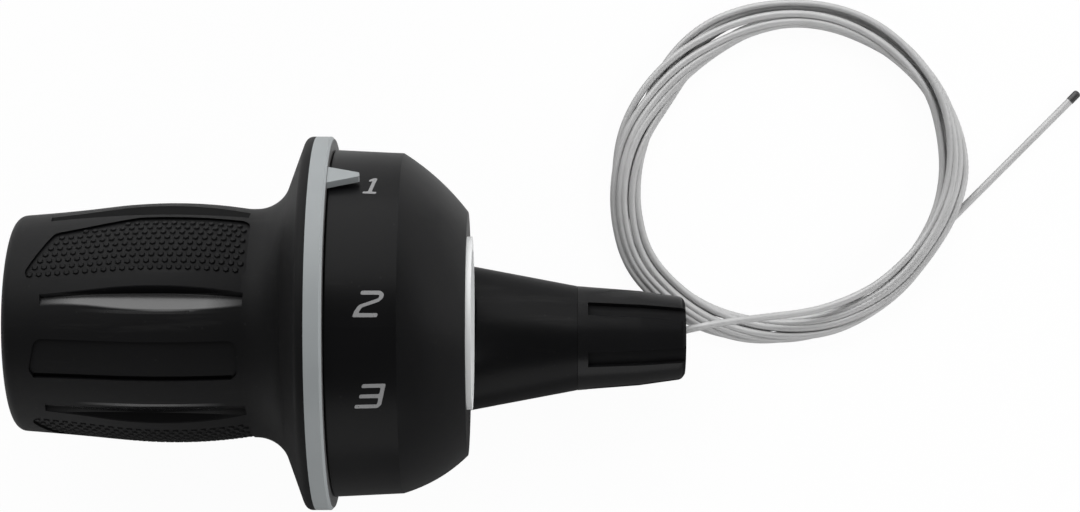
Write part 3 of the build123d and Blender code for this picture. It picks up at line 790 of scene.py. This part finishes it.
# %% Mouldings inside
nylon_black = moulded_finish(
    "black_nylon", dark=(0.004, 0.004, 0.004), light=(0.008, 0.008, 0.008),
    roughness=0.5, specular=0.2, grain=2400, bump_depth=0.02, dust=0.05,
)
acetal_white = moulded_finish(
    "white_acetal", dark=(0.6, 0.6, 0.57), light=(0.7, 0.7, 0.67),
    roughness=0.36, specular=0.5, grain=3000, bump_depth=0.008, dust=0.02,
)
seal_black = moulded_finish(
    "seal_rubber", dark=(0.005, 0.005, 0.005), light=(0.009, 0.009, 0.009),
    roughness=0.42, specular=0.25, grain=3400, bump_depth=0.01, dust=0.02,
)
print("finishes so far:", len(bpy.data.materials))

# %% [markdown]
# Metal finishes
#
# The cable, the spring, the clip, the clamp's screw and its brass insert are metal. Drawn and rolled
# metal is never evenly bright: fine lines and a thin film dull it here and there. The grain group
# serves again, but here it moves the roughness more than the colour.

# %% Recipe for a metal finish
film_clouds = 240.0
film_drift = 0.1


def metal_finish(name, dark, light, metallic, roughness, grain):
    """A plain metal: two shades of its own colour, and the roughness that its film gives it."""
    finish, tree, surface = new_finish(name)
    surface.inputs["Metallic"].default_value = metallic
    drawing = effect(tree, mould_grain, grain_per_metre=grain, cloud_per_metre=film_clouds)
    shades = mixed_colour(tree, drawing.outputs["Cloud"], dark, light)
    tree.links.new(shades, surface.inputs["Base Color"])
    smoothest = roughness - film_drift
    film = graded(tree, drawing.outputs["Grain"], low=smoothest, high=roughness + film_drift)
    tree.links.new(film, surface.inputs["Roughness"])
    return finish


cable_steel = metal_finish(
    "cable_steel", (0.56, 0.56, 0.56), (0.7, 0.7, 0.7), metallic=0.35, roughness=0.45, grain=1800
)
spring_steel = metal_finish(
    "spring_steel", (0.42, 0.42, 0.43), (0.56, 0.56, 0.57), metallic=1.0, roughness=0.32, grain=1500
)
brass = metal_finish(
    "brass", (0.6, 0.43, 0.19), (0.74, 0.56, 0.28), metallic=1.0, roughness=0.3, grain=1500
)
fused_end = metal_finish(
    "cable_solder", (0.1, 0.1, 0.1), (0.22, 0.22, 0.22), metallic=0.8, roughness=0.45, grain=2500
)
cable_mesh.materials.append(cable_steel)
print("finishes so far:", len(bpy.data.materials))

# %% [markdown]
# The grooves of the grip
#
# The grip's skin is matt, but the finger grooves beside its plain panels came from polished ribs of
# the mould, so they are smooth. They could have a material of their own, but they are one piece with
# the skin. So the finish works out how deep each point lies below the skin, with the same sums as for
# the pegs, and how far it is turned about the bar from the middle of the nearest plain panel.

# %% Depth below the grip's skin
groove_lip = (0.05 * mm, 0.2 * mm)
rubber_tree = rubber.node_tree
grip_x, grip_y, grip_z = object_axes(rubber_tree)


def rubber_math(operation, first, second=0.0):
    """A sum in the rubber's finish."""
    return math_node(rubber_tree, operation, first, second)


on_belly = rubber_math("MAXIMUM", grip_x, shoulder * mm)
beyond = rubber_math("SUBTRACT", on_belly, grip_x)
off_belly = rubber_math("SUBTRACT", on_belly, belly_middle * mm)
off_square = rubber_math("MULTIPLY", off_belly, off_belly)
arc = rubber_math("SQRT", rubber_math("SUBTRACT", (belly_curve * mm) ** 2, off_square))
bend = rubber_math("SUBTRACT", rubber_math("MULTIPLY", beyond, taper_bend / mm), taper_slope)
skin = rubber_math("ADD", arc, rubber_math("MULTIPLY", beyond, bend))
height = rubber_math("ADD", skin, (belly_top - belly_curve) * mm)
y_square = rubber_math("MULTIPLY", grip_y, grip_y)
z_square = rubber_math("MULTIPLY", grip_z, grip_z)
radius = rubber_math("SQRT", rubber_math("ADD", y_square, z_square))
sunk = graded(rubber_tree, rubber_math("SUBTRACT", height, radius), *groove_lip)
print("greatest radius of the skin in mm:", belly_top)

# %% Turn from the nearest plain panel
plain_turn = 17.0
half_step = math.radians(90.0)
leftwards = rubber_math("MULTIPLY", grip_y, -1.0)
turn = rubber_math("ARCTAN2", leftwards, grip_z)
wrapped = rubber_tree.nodes.new("ShaderNodeMath")
wrapped.operation = "WRAP"
rubber_tree.links.new(rubber_math("SUBTRACT", turn, math.radians(plain_turn)), wrapped.inputs[0])
wrapped.inputs[1].default_value = half_step
wrapped.inputs[2].default_value = -half_step
aside = rubber_math("ABSOLUTE", wrapped.outputs["Value"])
print("plain panels at", plain_turn, "and", plain_turn + 180.0, "degrees")

# %% [markdown]
# The shine of the grooves
#
# In the photograph the gentle flank of a groove shines along its middle and fades towards its ends,
# and so does the rim beside it. The whole groove is polished, so its roughness is low. A clear coat is
# brought in on the flank and the rim alone, because on the steep wall it would mirror the light from
# above.

# %% Masks of the grooves and their flanks
grooves_middle = -27.1
grooves_half = 15.5
grooves_fade = 6.0
groove_turns = (30.0, 7.0)
flank_turns = (28.3, 4.9)


def off_from(value, middle):
    """How far a value is from a middle one, either way."""
    return rubber_math("ABSOLUTE", rubber_math("SUBTRACT", value, middle))


def near_turn(middle, half):
    """A mask of the points that are turned this far aside, give or take a half width in degrees."""
    return rubber_math("LESS_THAN", off_from(aside, math.radians(middle)), math.radians(half))


def fading_length(middle, half, fade):
    """A mask that is whole in the middle of a stretch of the grip and fades towards its ends."""
    return graded(rubber_tree, off_from(grip_x, middle * mm), half * mm, (half - fade) * mm)


in_groove = rubber_math("MULTIPLY", sunk, fading_length(grooves_middle, grooves_half, grooves_fade))
polished = rubber_math("MULTIPLY", in_groove, near_turn(*groove_turns))
coated = rubber_math("MULTIPLY", in_groove, near_turn(*flank_turns))
print("turn of the flanks from a plain panel in degrees:", flank_turns[0])


# %% Polish in the grooves
def mixed_value(tree, mask, first, second):
    """The value of a socket where the mask is nothing, and a plain number where it is whole."""
    mix = tree.nodes.new("ShaderNodeMix")
    tree.links.new(mask, mix.inputs[0])
    tree.links.new(first, mix.inputs[2])
    mix.inputs[3].default_value = second
    return mix.outputs[0]


polish = 0.2
rubber_surface = rubber_tree.nodes["Principled BSDF"]
matt = rubber_surface.inputs["Roughness"].links[0].from_socket
smooth = mixed_value(rubber_tree, polished, matt, polish)
rubber_tree.links.new(smooth, rubber_surface.inputs["Roughness"])
print("roughness in the grooves:", polish)

# %% Coat on the flanks and the rims
rim_aside = 7.4
rim_width = 0.45
rim_middle = -26.0
rim_half = 11.0
rim_fade = 8.0
coat_roughness = 0.25
coat_index = 2.0
beside = rubber_math("MULTIPLY", radius, rubber_math("SINE", aside))
off_rim = off_from(beside, (rim_aside - rim_width / 2) * mm)
on_rim = rubber_math("LESS_THAN", off_rim, rim_width / 2 * mm)
rim = rubber_math("MULTIPLY", on_rim, fading_length(rim_middle, rim_half, rim_fade))
rubber_tree.links.new(rubber_math("MAXIMUM", coated, rim), rubber_surface.inputs["Coat Weight"])
rubber_surface.inputs["Coat Roughness"].default_value = coat_roughness
rubber_surface.inputs["Coat IOR"].default_value = coat_index
print("nodes in the rubber's finish:", len(rubber_tree.nodes))

# %% [markdown]
# The dull flutes of the adjuster
#
# The adjuster's lands are rubbed smooth by fingers, and its flutes keep the dull finish of the mould,
# so they look darker. The lands are two cones, one after the other, so the lower of two straight
# slopes gives their radius, and what lies deeper is in a flute.

# %% Dull flutes
port_middle = (-2.852, -19.793)
land_slopes = ((36.9, 8.25, 0.0765), (46.7, 7.5, 0.139))
flute_edge = 0.12
flute_roughness = 0.85
tree = adjuster_black.node_tree
surface = tree.nodes["Principled BSDF"]
smooth_land = surface.inputs["Roughness"].links[0].from_socket
along, across, up = object_axes(tree)
lands = []
for land_start, land_radius, land_slope in land_slopes:
    beyond = math_node(tree, "SUBTRACT", along, land_start * mm)
    fall = math_node(tree, "MULTIPLY", beyond, land_slope)
    lands.append(math_node(tree, "SUBTRACT", land_radius * mm, fall))
land = math_node(tree, "MINIMUM", *lands)
squares = []
for value, middle in zip((across, up), port_middle):
    off = math_node(tree, "SUBTRACT", value, middle * mm)
    squares.append(math_node(tree, "MULTIPLY", off, off))
from_port = math_node(tree, "SQRT", math_node(tree, "ADD", *squares))
depth = math_node(tree, "SUBTRACT", land, from_port)
in_flute = math_node(tree, "GREATER_THAN", depth, flute_edge * mm)
dull = mixed_value(tree, in_flute, smooth_land, flute_roughness)
tree.links.new(dull, surface.inputs["Roughness"])
print("finish with dull flutes:", adjuster_black.name)

# %% [markdown]
# The dark side of the ring
#
# The ring's narrow side that faces the housing is given a near-black grey. Its pointer and its rim
# keep the ring's own grey, so only the flat that lies on the plane of the housing's edge is darkened.

# %% Dark flat on the ring
flat_reach = 0.03
dark_flat_grey = (0.12, 0.12, 0.12)
tree = ring_grey.node_tree
surface = tree.nodes["Principled BSDF"]
ring_own_colour = surface.inputs["Base Color"].links[0].from_socket
from_plane = math_node(tree, "ABSOLUTE", object_axes(tree)[0])
on_flat = math_node(tree, "LESS_THAN", from_plane, flat_reach * mm)
# Points on the plane of the housing's edge take a near-black grey.
darkened_flat = mixed_colour(tree, on_flat, ring_own_colour, dark_flat_grey)
tree.links.new(darkened_flat, surface.inputs["Base Color"])
print("finish with a dark flat:", ring_grey.name)

# %% [markdown]
# The ink of the numbers
#
# The numbers are printed in silver ink, so they are brightest where they face the light. The ink is
# thin and a little patchy: it is lighter where it lies thick, and tiny pinholes let the black through.
# The grain of the mould underneath gives the pinholes.

# %% Ink finish
ink_metallic = 0.4
pinholes_per_metre = 5200
bare_black = (0.02, 0.02, 0.02)
number_ink = moulded_finish(
    "number_ink", dark=(0.28, 0.28, 0.285), light=(0.38, 0.38, 0.385),
    roughness=0.55, specular=0.3, grain=3600, bump_depth=0.006, dust=0.01,
)
tree = number_ink.node_tree
surface = tree.nodes["Principled BSDF"]
surface.inputs["Metallic"].default_value = ink_metallic
solid_ink = surface.inputs["Base Color"].links[0].from_socket
pinholes = effect(tree, mould_grain, grain_per_metre=pinholes_per_metre)
thin = graded(tree, pinholes.outputs["Grain"], start=0.36, end=0.28)
worn_ink = mixed_colour(tree, thin, solid_ink, bare_black)
tree.links.new(worn_ink, surface.inputs["Base Color"])
numbers_mesh.materials.append(number_ink)
print("finish of the numbers:", number_ink.name)

# %% [markdown]
# Finishes on the solids
#
# Each solid names a material slot in its record. The finishes above are named for those slots, so a
# solid's finish is found by its slot.

# %% Finishes by slot
finish_of_slot = {
    "grip_rubber": rubber,
    "black_nylon": nylon_black,
    "ring_grey": ring_grey,
    "white_acetal": acetal_white,
    "spring_steel": spring_steel,
    "housing_black": black_moulding,
    "sleeve_grey": sleeve_grey,
    "brass": brass,
    "adjuster_black": adjuster_black,
    "seal_rubber": seal_black,
    "cable_steel": cable_steel,
    "cable_solder": fused_end,
}
for piece in frame["record"]["subparts"]:
    node = nodes[piece["node"]]
    node.data.materials.clear()
    node.data.materials.append(finish_of_slot[piece["material_slot"]])

# %% [markdown]
# The size of the finished model
#
# What is made here must not make the shifter larger than its solids.

# %% Finish
print("scene built")
